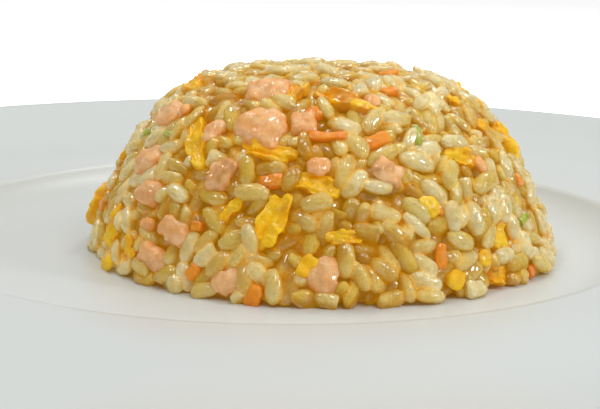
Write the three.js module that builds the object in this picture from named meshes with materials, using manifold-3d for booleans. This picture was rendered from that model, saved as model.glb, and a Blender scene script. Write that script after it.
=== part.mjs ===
// A plate of fried rice: a dome of short-grain rice turned out of a bowl, with salmon, egg,
// carrot and spring onion all through it, in the well of a wide round porcelain plate.
//
// Millimetres, +Z up. The origin is the centre of the plate, on the plane its foot ring rests on.
// The dome's seats are given as an azimuth (0 = +X, -90 = the front, -Y) and a latitude
// (0 = the dome's foot, 90 = its crown), both in degrees.

import * as THREE from 'three';
import { ConvexHull } from 'three/addons/math/ConvexHull.js';
import { mergeVertices } from 'three/addons/utils/BufferGeometryUtils.js';
import Module from 'manifold-3d';

const wasm = await Module();
wasm.setup();

// ------------------------------------------------------------------ driving dimensions

// The plate.
const PLATE_RADIUS = 150;
const PLATE_SIDES = 48;
const WALL = 4.6;              // of the flange, square to its face
const FLOOR_TOP = 8.4;         // the well's floor above the table
const FLOOR_RADIUS = 67;       // where the floor turns up into the cove
const CREST_RADIUS = 81;       // the edge between the cove and the flange
const CREST_RISE = 6;          // above the floor
const COVE_HANDLES = [[6, 0], [2.5, 2.7]];   // of its curve: in from the crest, and above the floor
const FLANGE_FLAT = [94, 116]; // radii between which the flange is nearly level
const FLANGE_RISES = [7, 6.6]; // above the floor, at those radii
const TURN_RADIUS = 132;       // where the flange is turning up to the rim
const TURN_RISE = 9.3;         // above the floor
const RIM_RISE = 15.2;         // above the floor
const RIM_ROUND = 1.6;         // radius of the rolled rim
const FOOT_RADIUS = 76;        // middle of the foot ring
const FOOT_WIDTH = 5;
const FOOT_DEPTH = 3;          // of the hollow inside the foot ring
const FOOT_FLARE = 4;          // how far the underside spreads above the foot ring

// The dome of rice: the surface that its outer grains are pressed to.
const DOME_CENTRE = new THREE.Vector2(9.5, 0);
const DOME_RADIUS = 53;
const DOME_HEIGHT = 41.5;
const DOME_FULLNESS = [3.9, 1.12];   // exponents of its outline, across and up
const CORE_DEPTH = 2.4;              // of the bare core under that surface
const CORE_SIDES = 40;
const CORE_RINGS = 10;
const AREA_STEPS = 2000;             // in the sum that spreads seats by area
const FOOT_CORNERS = 64;             // round the heap's foot
const FOOT_CORNER_PLAY = 0.2;        // of the step between them, either way
const FOOT_UNEVENNESS = 0.5;         // either way
// How far the foot reaches out from the middle of the dome, at some azimuths.
const FOOT_REACH = [
  [-180, 53.5], [-160, 51.5], [-145, 52], [-135, 54], [-118, 52], [-105, 55], [-85, 55.5],
  [-63, 53.5], [-45, 55.5], [-33, 57], [-20, 54], [20, 53.5], [70, 54.5], [120, 53], [180, 53.5],
];

// The rice. Most of its grains lie half sunk in the heap, each a flat-backed bump of a grain's
// length and width. The few that stand proud of the others are whole.
const GRAIN = { length: 6.8, width: 3.6, thickness: 3.0, sides: 5 };
const GRAIN_SCALES = [0.88, 1.08];
const GRAIN_GAP = 0.2;
const GRAIN_SEATS = 470;
const GRAIN_ATTEMPTS = 60;           // to find a place and turn that clear the other grains
const SEAT_PLAY = 3.4;               // either way, along the dome's surface
const LOWEST_SEAT = 3;               // degrees of latitude
const BACK_DEPTH = [-0.2, 0.7];      // of a half-sunk grain's back under the dome's surface
const BACK_PLAY = 0.3;               // between the corners of one back
const PROUD_GRAINS = 26;
const PROUD_SCALES = [0.92, 1.12];
const PROUD_DEPTH = [-0.1, 0.9];     // of a whole grain's middle under the dome's surface
const PROUD_TILT = [-28, 28];        // out of level with the surface
const DICE_DEPTH = 0.9;              // of a small die's middle under the surface
const PIECE_ATTEMPTS = 5;            // to find a place for a small piece clear of the toppings
const PIECE_PLAY = { azimuth: 4, latitude: 3, turn: 60 };   // degrees either way, each time
const CARROT = [5.2, 2.6, 2.4];      // a diced strip
const ONION = [4.6, 1.8, 1.4];       // a chopped piece of leaf

const GAP = 0.3;                     // between neighbouring solids
const SLIVER = 0.15;                 // faces narrower than this are closed up after a cut
const LARGE_CURD = 12;               // a curd longer than this is more finely faceted
const SEED = 20417;

// Each topping: azimuth and latitude of its seat, its length, width and thickness, the turn of
// its length from level, how far its ends curl sideways, and how far its top stands out of the
// dome's surface where that isn't TOPPING_PROUD.
const TOPPING_PROUD = 0.5;
const TOPPING_MARGIN = 0.3;          // of bare core round a topping
const SALMON_PIECES = [
  { at: [-111, 60], size: [11.5, 9.0, 8.5], turn: -6 },
  { at: [-116, 74], size: [10.5, 8.0, 7.5], turn: 14 },
  { at: [-97, 62], size: [5.6, 5.6, 6.5], turn: 10 },
  { at: [-153, 60], size: [10.5, 6.0, 6.5], turn: 8 },
  { at: [-149, 45], size: [9.5, 6.4, 7.0], turn: 34 },
  { at: [-141, 38], size: [8.0, 5.4, 6.5], turn: -8 },
  { at: [-118, 46], size: [7.0, 4.8, 6.5], turn: 62 },
  { at: [-128, 29], size: [7.6, 5.6, 7.0], turn: -12 },
  { at: [-132, 19], size: [8.0, 5.2, 6.5], turn: -18 },
  { at: [-111, 15], size: [7.0, 5.4, 7.0], turn: 16 },
  { at: [-90, 20], size: [8.2, 6.6, 8.0], turn: 62 },
  { at: [-73, 48], size: [7.2, 5.4, 6.5], turn: -24 },
];
const EGG_PIECES = [
  { at: [-102, 35], size: [12.8, 6.6, 7.0], turn: 74, curl: 0.8 },
  { at: [-92, 45], size: [9.6, 5.8, 6.5], turn: -14, curl: -0.8 },
  { at: [-106, 53], size: [13.0, 3.8, 6.0], turn: -14, curl: -1.6 },
  { at: [-131, 54], size: [12.5, 5.4, 6.5], turn: -56, curl: 0.6 },
  { at: [-113, 38], size: [8.6, 2.8, 6.0], turn: 62, curl: 0.8 },
  { at: [-104, 74], size: [8.4, 4.6, 6.0], turn: 72, curl: 0.8 },
  { at: [-82, 69], size: [14.0, 4.6, 6.5], turn: -24, curl: -3.4 },
  { at: [-172, 71], size: [11.0, 5.0, 5.5], turn: 8, curl: 0.6 },
  { at: [-176, 45], size: [9.0, 4.8, 6.0], turn: 78, curl: 0.6 },
  { at: [-174, 25], size: [9.4, 7.4, 8.0], turn: 70, curl: 0.8, proud: 2.4 },
  { at: [-153, 21], size: [9.0, 7.4, 7.0], turn: 30, curl: -0.8 },
  { at: [-85, 31], size: [8.0, 3.4, 6.0], turn: 4, curl: -0.6 },
  { at: [-48, 51], size: [8.6, 4.4, 6.0], turn: -12, curl: 0.6 },
  { at: [-13, 51], size: [10.5, 6.4, 7.0], turn: 76, curl: -0.8, proud: 1.3 },
  { at: [-42, 26], size: [8.6, 7.4, 7.0], turn: 40, curl: 0.6 },
  { at: [-46, 13], size: [6.2, 4.2, 6.0], turn: -10, curl: 0.4 },
];

// The rest of the toppings lie where the rule below puts them, from one end of the azimuths
// to the other.
const SPREAD = {
  azimuths: [0, 180],
  shares: [0.08, 0.84],        // of the dome's area, from its foot to its crown
  clearance: 1.45,             // between middles, as a multiple of the two pieces' middling radii
  proud: 0.2,
  salmon: { count: 8, longest: [11.5, 9.0, 8.0], shortest: [6.6, 5.2, 6.5] },
  egg: { count: 9, longest: [13.0, 7.0, 7.0], shortest: [7.6, 4.2, 6.0] },
};

// Small dice and leaf in the front of the dome, as azimuth, latitude and turn.
const CARROT_SEATS = [
  [-90, 57, 4], [-76, 57, 20], [-94, 67, -50], [-59, 76, -20], [-104, 46, -20], [-121, 33, 30],
  [-120, 17, 50], [-104, 11, 76], [-63, 25, 80], [-34, 11, 30], [-24, 42, 20], [-61, 39, 70],
  [-15, 20, 60], [-14, 88, 0],
];
const ONION_SEATS = [
  [-161, 54, 60], [-145, 54, -20], [-60, 58, 80], [-52, 34, 84], [-31, 31, 20], [-173, 8, 60],
];
const HIDDEN_CARROTS = 12;
const HIDDEN_ONIONS = 6;

// ------------------------------------------------------------------ materials

const finish = (color, roughness) => new THREE.MeshStandardMaterial({ color, roughness, metalness: 0 });
const PORCELAIN = finish('#dcdcd4', 0.12);
const RICE = finish('#dcc992', 0.35);
const SALMON = finish('#eda774', 0.5);
const EGG = finish('#efb022', 0.45);

// ------------------------------------------------------------------ helpers

// Seeded draws between 0 and 1 (mulberry32).
function makeDraw(seed) {
  let state = seed;
  return () => {
    state = (state + 0x6d2b79f5) | 0;
    let mixed = Math.imul(state ^ (state >>> 15), 1 | state);
    mixed = (mixed + Math.imul(mixed ^ (mixed >>> 7), 61 | mixed)) ^ mixed;
    return ((mixed ^ (mixed >>> 14)) >>> 0) / 4294967296;
  };
}
const draw = makeDraw(SEED);
const between = (low, high) => low + (high - low) * draw();
const mix = (low, high, share) => low + (high - low) * share;
const radians = THREE.MathUtils.degToRad;

// A closed geometry as a solid that can be joined and cut.
function solidOf(geometry) {
  const bare = geometry.clone();
  bare.deleteAttribute('normal');
  bare.deleteAttribute('uv');
  const welded = mergeVertices(bare, 1e-4);
  const corners = welded.index.array;
  const kept = [];
  for (let i = 0; i < corners.length; i += 3) {
    const [a, b, c] = corners.subarray(i, i + 3);
    if (a !== b && b !== c && c !== a) kept.push(a, b, c);
  }
  return new wasm.Manifold(new wasm.Mesh({
    numProp: 3,
    vertProperties: new Float32Array(welded.attributes.position.array),
    triVerts: new Uint32Array(kept),
  }));
}

// A cut or joined solid with its slivers closed up, and without loose scraps or sealed hollows.
function tidied(solid) {
  const pieces = solid.asOriginal().simplify(SLIVER).decompose();
  return pieces.reduce((best, piece) => (piece.volume() > best.volume() ? piece : best));
}

function meshOf(name, solid, material) {
  const { vertProperties, triVerts } = solid.getMesh();
  const geometry = new THREE.BufferGeometry();
  geometry.setAttribute('position', new THREE.BufferAttribute(vertProperties, 3));
  geometry.setIndex(new THREE.BufferAttribute(triVerts, 1));
  geometry.computeVertexNormals();
  const mesh = new THREE.Mesh(geometry, material);
  mesh.name = name;
  return mesh;
}

// Moves every corner of a geometry: change(corner) edits it in place. Corners that share a
// place are moved alike.
function reshape(geometry, change) {
  const places = geometry.attributes.position;
  const moved = new Map();
  const corner = new THREE.Vector3();
  for (let i = 0; i < places.count; i += 1) {
    corner.fromBufferAttribute(places, i);
    const key = corner.toArray().map((value) => Math.round(value * 1e4)).join();
    if (!moved.has(key)) {
      change(corner);
      moved.set(key, corner.clone());
    }
    places.setXYZ(i, ...moved.get(key).toArray());
  }
  return geometry;
}

// ------------------------------------------------------------------ the plate

function plateSolid() {
  const top = (rise) => FLOOR_TOP + rise;
  const outline = new THREE.Path();
  outline.moveTo(0, top(0));
  outline.lineTo(FLOOR_RADIUS, top(0));
  // The cove, up to the crest.
  const [low, high] = COVE_HANDLES.map(([inward, rise]) => [CREST_RADIUS - inward, top(rise)]);
  outline.bezierCurveTo(...low, ...high, CREST_RADIUS, top(CREST_RISE));
  const cove = outline.curves.at(-1);
  // The flange: a gentle rise, a nearly level stretch, then the sweep up to the rim.
  const flange = new THREE.SplineCurve([
    new THREE.Vector2(CREST_RADIUS, top(CREST_RISE)),
    ...FLANGE_FLAT.map((radius, i) => new THREE.Vector2(radius, top(FLANGE_RISES[i]))),
    new THREE.Vector2(TURN_RADIUS, top(TURN_RISE)),
    new THREE.Vector2(PLATE_RADIUS - 1.5 * RIM_ROUND, top(RIM_RISE - RIM_ROUND / 4)),
  ]);
  const faceTop = [new THREE.Vector2(0, top(0)), ...cove.getPoints(3), ...flange.getPoints(5).slice(1)];

  const rimCentre = new THREE.Vector2(PLATE_RADIUS - RIM_ROUND, top(RIM_RISE) - RIM_ROUND);
  const rim = new THREE.EllipseCurve(
    rimCentre.x, rimCentre.y, RIM_ROUND, RIM_ROUND, radians(80), radians(-60), true).getPoints(2);

  // The underside follows the flange at the wall's thickness, in to the foot ring.
  const under = flange.getPoints(3).slice(1, -1).reverse()
    .map((point) => new THREE.Vector2(point.x + 1, point.y - WALL));
  const footOut = FOOT_RADIUS + FOOT_WIDTH / 2;
  const footIn = FOOT_RADIUS - FOOT_WIDTH / 2;
  const foot = [
    new THREE.Vector2(footOut + FOOT_FLARE, top(0) - WALL / 4),
    new THREE.Vector2(footOut + FOOT_FLARE / 6, FOOT_DEPTH),
    new THREE.Vector2(footOut, 0),
    new THREE.Vector2(footIn, 0),
    new THREE.Vector2(footIn - FOOT_FLARE / 5, FOOT_DEPTH),
    new THREE.Vector2(0, FOOT_DEPTH),
  ];
  const profile = [...faceTop, ...rim, ...under, ...foot].reverse();
  const geometry = new THREE.LatheGeometry(profile, PLATE_SIDES);
  geometry.rotateX(Math.PI / 2);
  return solidOf(geometry);
}

// ------------------------------------------------------------------ the dome

// The middle of the dome's foot, just clear of the plate's floor.
const DOME_FOOT = new THREE.Vector3(DOME_CENTRE.x, DOME_CENTRE.y, FLOOR_TOP + GAP);

// A point of the dome's outline, at some depth under its surface: radius and height.
function domeOutline(latitude, depth) {
  const [across, up] = DOME_FULLNESS;
  const angle = radians(latitude);
  return new THREE.Vector2(
    (DOME_RADIUS - depth) * Math.max(Math.cos(angle), 0) ** (2 / across),
    (DOME_HEIGHT - depth) * Math.sin(angle) ** (2 / up));
}

// A smooth solid dome at some depth under the surface.
function domeAt(depth) {
  const profile = [new THREE.Vector2(0, 0)];
  for (let ring = 0; ring < CORE_RINGS; ring += 1) {
    profile.push(domeOutline((90 * ring) / CORE_RINGS, depth));
  }
  profile.push(new THREE.Vector2(0, DOME_HEIGHT - depth));
  const geometry = new THREE.LatheGeometry(profile, CORE_SIDES);
  geometry.rotateX(Math.PI / 2);
  geometry.translate(...DOME_FOOT.toArray());
  return solidOf(geometry);
}

// The frame of a seat: X along the piece, Y across it and Z straight out of the dome.
function seatFrame({ azimuth, latitude, turn = 0, tilt = 0, depth = 0 }) {
  const [across, up] = DOME_FULLNESS;
  const point = domeOutline(Math.max(latitude, 0.5), 0);
  const slope = new THREE.Vector2(
    (across / DOME_RADIUS) * (point.x / DOME_RADIUS) ** (across - 1),
    (up / DOME_HEIGHT) * (point.y / DOME_HEIGHT) ** (up - 1)).normalize();
  const around = radians(azimuth);
  const outward = new THREE.Vector3(slope.x * Math.cos(around), slope.x * Math.sin(around), slope.y);
  const level = new THREE.Vector3(-Math.sin(around), Math.cos(around), 0);
  const upslope = new THREE.Vector3().crossVectors(outward, level);
  const place = new THREE.Vector3(point.x * Math.cos(around), point.x * Math.sin(around), point.y)
    .add(DOME_FOOT)
    .addScaledVector(outward, -depth);
  const frame = new THREE.Matrix4().makeBasis(level, upslope, outward);
  frame.multiply(new THREE.Matrix4().makeRotationZ(radians(turn)));
  frame.multiply(new THREE.Matrix4().makeRotationY(radians(tilt)));
  return frame.setPosition(place);
}

// The point of the dome's surface that lies outward of a point, seen from the middle of its foot.
function ontoDome(point) {
  const [across, up] = DOME_FULLNESS;
  const ray = point.clone().sub(DOME_FOOT);
  const outside = (scale) => (
    (Math.hypot(ray.x, ray.y) * scale / DOME_RADIUS) ** across
    + (Math.max(ray.z, 0) * scale / DOME_HEIGHT) ** up) > 1;
  let [low, high] = [0, 4];
  for (let halving = 0; halving < 32; halving += 1) {
    const middle = (low + high) / 2;
    if (outside(middle)) high = middle;
    else low = middle;
  }
  return ray.multiplyScalar(low).add(DOME_FOOT);
}

// How much of the dome's surface lies under each of some latitudes, from its foot to its crown.
const stepLatitude = (step) => (90 * step) / AREA_STEPS;
const AREAS = [0];
for (let step = 1; step <= AREA_STEPS; step += 1) {
  const low = domeOutline(stepLatitude(step - 1), 0);
  const high = domeOutline(stepLatitude(step), 0);
  AREAS.push(AREAS.at(-1) + Math.PI * low.distanceTo(high) * (low.x + high.x));
}

// The latitude with some share of the dome's surface under it.
function latitudeAt(share) {
  return stepLatitude(AREAS.findIndex((area) => area >= share * AREAS.at(-1)));
}

// Seats spread evenly over the dome: equal shares of its surface, each turned on from the last
// by the golden angle.
function evenSeats(count) {
  const goldenAngle = 180 * (3 - Math.sqrt(5));
  return Array.from({ length: count }, (_, i) => (
    { azimuth: i * goldenAngle, latitude: latitudeAt((i + 0.5) / count), share: (i + 0.5) / count }));
}

// A seat near another.
function seatNear({ azimuth, latitude, share }) {
  const { x: radius } = domeOutline(latitude, 0);
  const upward = (between(-SEAT_PLAY, SEAT_PLAY) * 2 * Math.PI * radius) / AREAS.at(-1);
  const sideways = Math.atan(between(-SEAT_PLAY, SEAT_PLAY) / radius);
  return {
    azimuth: azimuth + THREE.MathUtils.radToDeg(sideways),
    latitude: Math.max(latitudeAt(Math.min(Math.max(share + upward, 0), 1)), LOWEST_SEAT),
  };
}

// ------------------------------------------------------------------ toppings

// A curd of scrambled egg: a knobbly lump, its ends curled sideways.
function eggGeometry([length, width, thickness], curl) {
  const large = length > LARGE_CURD;
  const geometry = large ? new THREE.IcosahedronGeometry(1, 1) : new THREE.SphereGeometry(1, 6, 4);
  return reshape(geometry, (corner) => {
    corner.multiplyScalar(between(0.86, 1.1));
    corner.multiply(new THREE.Vector3(length / 2, width / 2, thickness / 2));
    const reach = corner.x / (length / 2);
    corner.y += curl * (reach * reach - 0.4);
  });
}

// A chunk of cooked salmon: a blunt block broken along its flakes.
function salmonGeometry([length, width, thickness]) {
  const geometry = new THREE.BoxGeometry(2, 2, 2, 2, 2, 1);
  return reshape(geometry, (corner) => {
    const round = corner.clone().normalize().multiplyScalar(1.25);
    corner.lerp(round, 0.62).multiplyScalar(between(0.88, 1.06));
    corner.multiply(new THREE.Vector3(length / 2, width / 2, thickness / 2));
  });
}

function placedTopping(kind, { at: [azimuth, latitude], size, turn, curl, proud = TOPPING_PROUD }) {
  const frame = seatFrame({ azimuth, latitude, turn, depth: size[2] / 2 - proud });
  const geometry = kind === 'egg' ? eggGeometry(size, curl) : salmonGeometry(size);
  const grown = new THREE.Matrix4().makeScale(...size.map((side) => (side + 2 * GAP) / side));
  const toPiece = frame.clone().invert();
  return {
    kind,
    size,
    centre: new THREE.Vector3().setFromMatrixPosition(frame),
    reach: Math.hypot(...size) / 2,
    covers(point) {
      const local = point.clone().applyMatrix4(toPiece);
      const along = local.x / (size[0] / 2 + TOPPING_MARGIN);
      const across = local.y / (size[1] / 2 + TOPPING_MARGIN);
      return Math.hypot(along, across) < 1 && Math.abs(local.z) < size[2];
    },
    keepOut: solidOf(geometry.clone().applyMatrix4(grown).applyMatrix4(frame)),
    solid: solidOf(geometry.applyMatrix4(frame)),
  };
}

// Draws a piece for the part of the dome that the lists above leave free, until it lies clear
// of every topping so far.
function drawnTopping(kind, share, others) {
  const { longest, shortest } = SPREAD[kind];
  const size = longest.map((side, i) => mix(side, shortest[i], share));
  const middling = (sides) => (sides[0] + sides[1]) / 4;
  for (;;) {
    const piece = {
      at: [between(...SPREAD.azimuths), latitudeAt(between(...SPREAD.shares))],
      size,
      turn: between(-90, 90),
      curl: between(-1.4, 1.4),
      proud: SPREAD.proud,
    };
    const [azimuth, latitude] = piece.at;
    const centre = new THREE.Vector3().setFromMatrixPosition(seatFrame({ azimuth, latitude }));
    const clear = others.every((other) => (
      other.centre.distanceTo(centre) > SPREAD.clearance * (middling(other.size) + middling(size))));
    if (clear) return placedTopping(kind, piece);
  }
}

// All the toppings, each cut to the bare core, the plate's floor and the toppings before it.
function allToppings() {
  const toppings = [
    ...SALMON_PIECES.map((piece) => placedTopping('salmon', piece)),
    ...EGG_PIECES.map((piece) => placedTopping('egg', piece)),
  ];
  for (const kind of ['salmon', 'egg']) {
    const { count } = SPREAD[kind];
    for (let i = 0; i < count; i += 1) {
      toppings.push(drawnTopping(kind, i / (count - 1), toppings));
    }
  }
  const core = domeAt(CORE_DEPTH - GAP);
  const table = new THREE.BoxGeometry(4 * DOME_RADIUS, 4 * DOME_RADIUS, DOME_HEIGHT);
  table.translate(0, 0, DOME_FOOT.z - DOME_HEIGHT / 2);
  const belowFoot = solidOf(table);
  toppings.forEach((topping, i) => {
    topping.solid = toppings.slice(0, i)
      .filter((other) => other.centre.distanceTo(topping.centre) < other.reach + topping.reach + GAP)
      .reduce((solid, other) => solid.subtract(other.keepOut), topping.solid);
    topping.solid = tidied(topping.solid.subtract(core).subtract(belowFoot));
  });
  return toppings;
}

// ------------------------------------------------------------------ the heap

// The faces of the hull round some points, each as its three points.
function hullFaces(points) {
  return new ConvexHull().setFromPoints(points).faces.map(({ edge }) => (
    [edge.head().point, edge.next.head().point, edge.next.next.head().point]));
}

// The corners of a grain half sunk in the heap, as shares of its length and width: a flat back,
// and a rim that meets the bare core.
const GRAIN_BACK = [[-0.24, -0.17], [0.24, -0.17], [0.24, 0.17], [-0.24, 0.17]];
const GRAIN_RIM = [0, 54, 126, 180, 234, 306].map(radians)
  .map((angle) => [0.5 * Math.cos(angle), 0.52 * Math.sin(angle)]);

// A grain on a seat, or nothing where it would cross a topping or a grain that is there already.
function sunkGrain(seat, others, toppings) {
  const frame = seatFrame(seat);
  const length = GRAIN.length * seat.scale;
  const width = GRAIN.width * seat.scale;
  const toGrain = frame.clone().invert();
  const onSurface = ([along, across]) => (
    ontoDome(new THREE.Vector3(along * length, across * width, 0).applyMatrix4(frame)));
  const back = GRAIN_BACK.map(onSurface);
  const rim = GRAIN_RIM.map(onSurface);
  const covers = (point) => {
    const local = point.clone().applyMatrix4(toGrain);
    return Math.hypot(local.x / (length / 2 + GRAIN_GAP), local.y / (width / 2 + GRAIN_GAP)) < 1;
  };
  const centre = new THREE.Vector3().setFromMatrixPosition(frame);
  const reach = GRAIN.length * GRAIN_SCALES[1] + GRAIN_GAP;
  const near = others.filter((other) => other.centre.distanceTo(centre) < reach);
  const crosses = near.some((other) => rim.some(other.covers) || other.rim.some(covers))
    || rim.some((point) => point.z < DOME_FOOT.z + GRAIN_GAP)
    || toppings.some((topping) => rim.some(topping.covers) || covers(topping.centre));
  return crosses ? null : { centre, rim, back, covers };
}

// The heap's core and the grains half sunk in it. The dome bulges everywhere, so the hull of
// points on its surface joins each to its neighbours. They are then sunk to their own depths.
function sunkHeap(toppings) {
  const grains = [];
  for (const seat of evenSeats(GRAIN_SEATS)) {
    for (let attempt = 0; attempt < GRAIN_ATTEMPTS; attempt += 1) {
      const grain = sunkGrain(
        { ...seatNear(seat), turn: between(-90, 90), scale: between(...GRAIN_SCALES) },
        grains,
        toppings,
      );
      if (grain) {
        grains.push(grain);
        break;
      }
    }
  }

  const depths = new Map();
  for (let i = 0; i < FOOT_CORNERS; i += 1) {
    const step = i + between(-FOOT_CORNER_PLAY, FOOT_CORNER_PLAY);
    const azimuth = Math.max((360 * step) / FOOT_CORNERS - 180, -180);
    const next = FOOT_REACH.findIndex(([end]) => end >= azimuth) || 1;
    const [[start, low], [end, high]] = FOOT_REACH.slice(next - 1, next + 1);
    const reach = mix(low, high, (azimuth - start) / (end - start));
    const around = radians(azimuth);
    const point = new THREE.Vector3(Math.cos(around), Math.sin(around), 0);
    const unevenness = between(-FOOT_UNEVENNESS, FOOT_UNEVENNESS);
    depths.set(point.multiplyScalar(DOME_RADIUS).add(DOME_FOOT), DOME_RADIUS - reach + unevenness);
  }
  for (const { rim, back } of grains) {
    const depth = between(...BACK_DEPTH);
    rim.forEach((point) => depths.set(point, CORE_DEPTH));
    back.forEach((point) => depths.set(point, depth + between(0, BACK_PLAY)));
  }
  const corners = hullFaces([...depths.keys()]).flat().map((point) => {
    const outward = point.clone().sub(DOME_FOOT);
    return outward.setLength(outward.length() - depths.get(point)).add(DOME_FOOT);
  });
  return solidOf(new THREE.BufferGeometry().setFromPoints(corners));
}

function grainGeometry(scale) {
  const { length, width, thickness, sides } = GRAIN;
  const profile = [[0, -0.5], [0.42, -0.3], [0.46, 0.24], [0, 0.5]]
    .map(([radius, along]) => new THREE.Vector2(radius, along));
  const geometry = new THREE.LatheGeometry(profile, sides);
  geometry.rotateZ(Math.PI / 2);
  return geometry.scale(length * scale, width * scale, thickness * scale);
}

// A small piece for the heap. It is turned and nudged until it clears the toppings and the
// plate, and left out where it can't.
function fusedPiece(makeGeometry, seat, toppings) {
  for (let attempt = 0; attempt < PIECE_ATTEMPTS; attempt += 1) {
    const geometry = makeGeometry().applyMatrix4(seatFrame(seat));
    geometry.computeBoundingBox();
    geometry.computeBoundingSphere();
    const { center, radius } = geometry.boundingSphere;
    const solid = solidOf(geometry);
    const clear = toppings
      .filter((topping) => topping.centre.distanceTo(center) < topping.reach + radius + GAP)
      .every((topping) => topping.keepOut.intersect(solid).isEmpty());
    if (clear && geometry.boundingBox.min.z > DOME_FOOT.z) return solid;
    seat.azimuth += between(-1, 1) * PIECE_PLAY.azimuth;
    seat.latitude = Math.max(seat.latitude + between(-1, 1) * PIECE_PLAY.latitude, LOWEST_SEAT);
    seat.turn += between(-1, 1) * PIECE_PLAY.turn;
  }
  return null;
}

function riceHeap(toppings) {
  const pieces = [sunkHeap(toppings)];
  const fuse = (makeGeometry, seat) => {
    const solid = fusedPiece(makeGeometry, seat, toppings);
    if (solid) pieces.push(solid);
  };
  const dice = (size, seats, hidden) => {
    const piece = () => new THREE.BoxGeometry(...size);
    for (const [azimuth, latitude, turn] of seats) {
      fuse(piece, { azimuth, latitude, turn, depth: DICE_DEPTH });
    }
    for (let i = 0; i < hidden; i += 1) {
      const azimuth = mix(...SPREAD.azimuths, (i + between(0.2, 0.8)) / hidden);
      const latitude = latitudeAt(between(...SPREAD.shares));
      fuse(piece, { azimuth, latitude, turn: between(-90, 90), depth: DICE_DEPTH });
    }
  };
  dice(CARROT, CARROT_SEATS, HIDDEN_CARROTS);
  dice(ONION, ONION_SEATS, HIDDEN_ONIONS);
  for (const { azimuth, latitude } of evenSeats(PROUD_GRAINS)) {
    const scale = between(...PROUD_SCALES);
    const tilt = between(...PROUD_TILT);
    fuse(() => grainGeometry(scale), {
      azimuth, latitude, tilt, turn: between(-90, 90), depth: between(...PROUD_DEPTH),
    });
  }

  // Where a grain still reaches a topping, it is cut back to it, down to the bare core.
  const core = domeAt(CORE_DEPTH);
  return tidied(toppings.reduce(
    (heap, topping) => heap.subtract(topping.keepOut.subtract(core)), wasm.Manifold.union(pieces)));
}

// ------------------------------------------------------------------ the whole

const dish = new THREE.Group();
dish.add(meshOf('plate', plateSolid(), PORCELAIN));

const toppings = allToppings();
dish.add(meshOf('rice_heap', riceHeap(toppings), RICE));
for (const [kind, material] of [['salmon', SALMON], ['egg', EGG]]) {
  toppings.filter((topping) => topping.kind === kind).forEach((topping, i) => {
    dish.add(meshOf(`${kind}_${String(i + 1).padStart(2, '0')}`, topping.solid, material));
  });
}

export default dish;
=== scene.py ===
# Dresses the plate of fried rice: loose grains packed in a moulded dome, flaky salmon, torn egg,
# carrot dice and spring onion, on a glazed porcelain plate. Sizes are in millimetres, +Z up, with
# the origin under the middle of the plate. Finished meshes are scaled to metres.

import math

import bmesh
import bpy
import numpy as np
from mathutils import Matrix, Vector, noise
from mathutils.bvhtree import BVHTree


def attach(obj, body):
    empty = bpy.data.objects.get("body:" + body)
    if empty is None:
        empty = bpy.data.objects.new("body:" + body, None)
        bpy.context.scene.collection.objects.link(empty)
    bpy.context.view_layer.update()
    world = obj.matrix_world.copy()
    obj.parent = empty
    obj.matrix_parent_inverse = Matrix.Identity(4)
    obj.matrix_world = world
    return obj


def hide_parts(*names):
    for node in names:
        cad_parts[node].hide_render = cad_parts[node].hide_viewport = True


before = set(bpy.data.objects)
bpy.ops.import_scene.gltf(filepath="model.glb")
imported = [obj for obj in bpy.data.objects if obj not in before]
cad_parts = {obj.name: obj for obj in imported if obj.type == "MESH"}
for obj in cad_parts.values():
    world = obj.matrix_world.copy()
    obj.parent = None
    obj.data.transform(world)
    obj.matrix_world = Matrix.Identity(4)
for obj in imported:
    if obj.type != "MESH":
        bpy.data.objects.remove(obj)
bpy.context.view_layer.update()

MM = 0.001
chance = np.random.default_rng(20417)

# ---------------------------------------- sizes

# The plate.
PLATE_RADIUS = 150
PLATE_STEPS = 192
WALL = 4.6
FLOOR_TOP = 8.4
FLOOR_RADIUS = 67
CREST_RADIUS = 81
CREST_RISE = 6
RIM_RISE = 15.2
RIM_ROUND = 1.6
FOOT_RADIUS = 76
FOOT_WIDTH = 5
FOOT_DEPTH = 3
FLANGE = ((94, 7.0), (116, 6.6), (132, 9.3))    # radius, and height over the well's floor

# The dome: the smooth outline that its outer grains are pressed to.
DOME_FOOT = np.array((9.5, 0.0, FLOOR_TOP + 0.1))
DOME_RADIUS = 53.0
DOME_HEIGHT = 40.9
DOME_FULLNESS = (3.9, 1.12)
FOOT_BAND = 3.5                      # height over which the foot's unevenness fades out
FOOT_REACH = (                       # azimuth, reach from the middle of the dome
    (-180, 53.5), (-160, 51.5), (-145, 52), (-135, 54), (-118, 52), (-105, 55), (-85, 55.5),
    (-63, 53.5), (-45, 55.5), (-33, 57), (-20, 54), (20, 53.5), (70, 54.5), (120, 53), (180, 53.5),
)

# A grain of cooked short-grain rice.
GRAIN_LENGTH = 7.2
GRAIN_WIDTH = 3.9
GRAIN_THICKNESS = 2.9
GRAIN_SQUARENESS = (2.0, 2.7)        # exponents of the cross-sections' superellipses
GRAIN_SHAPES = 16
BROKEN_SHAPES = 1                    # of those, short ones with one blunt end
BLUNTNESS = 0.35                     # length that is left of a broken grain's snapped end
GRAIN_SIDES = 8
GRAIN_RINGS = 8
GRAIN_COUNT = 1750
OUTER_SHARE = 0.48                   # of the grains that lie in the outermost layer
SHELL = 6.8                          # depth of the layers of loose grains
CORE_DEPTH = 3.6                     # of the bare core under them

# Salmon and egg, which stand for solids of their own.
SALMON_FULLNESS = 0.98               # of a chunk's size, over its solid's
EGG_FULLNESS = (0.97, 0.98)          # of a sheet's length and width, over its solid's
EGG_THICKNESS = 2.2
EGG_CRUMPLE = 1.5                    # height of the folds in a sheet
EGG_SINK = 1.4                       # from the top of an egg's solid down to the middle of its sheet
BROWNED_SALMON = {"salmon_07": 0.35, "salmon_12": 0.25}       # how browned some pieces are
BROWNED_EGG = {"egg_07": 0.55, "egg_06": 0.2, "egg_15": 0.2, "egg_16": 0.3}

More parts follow.
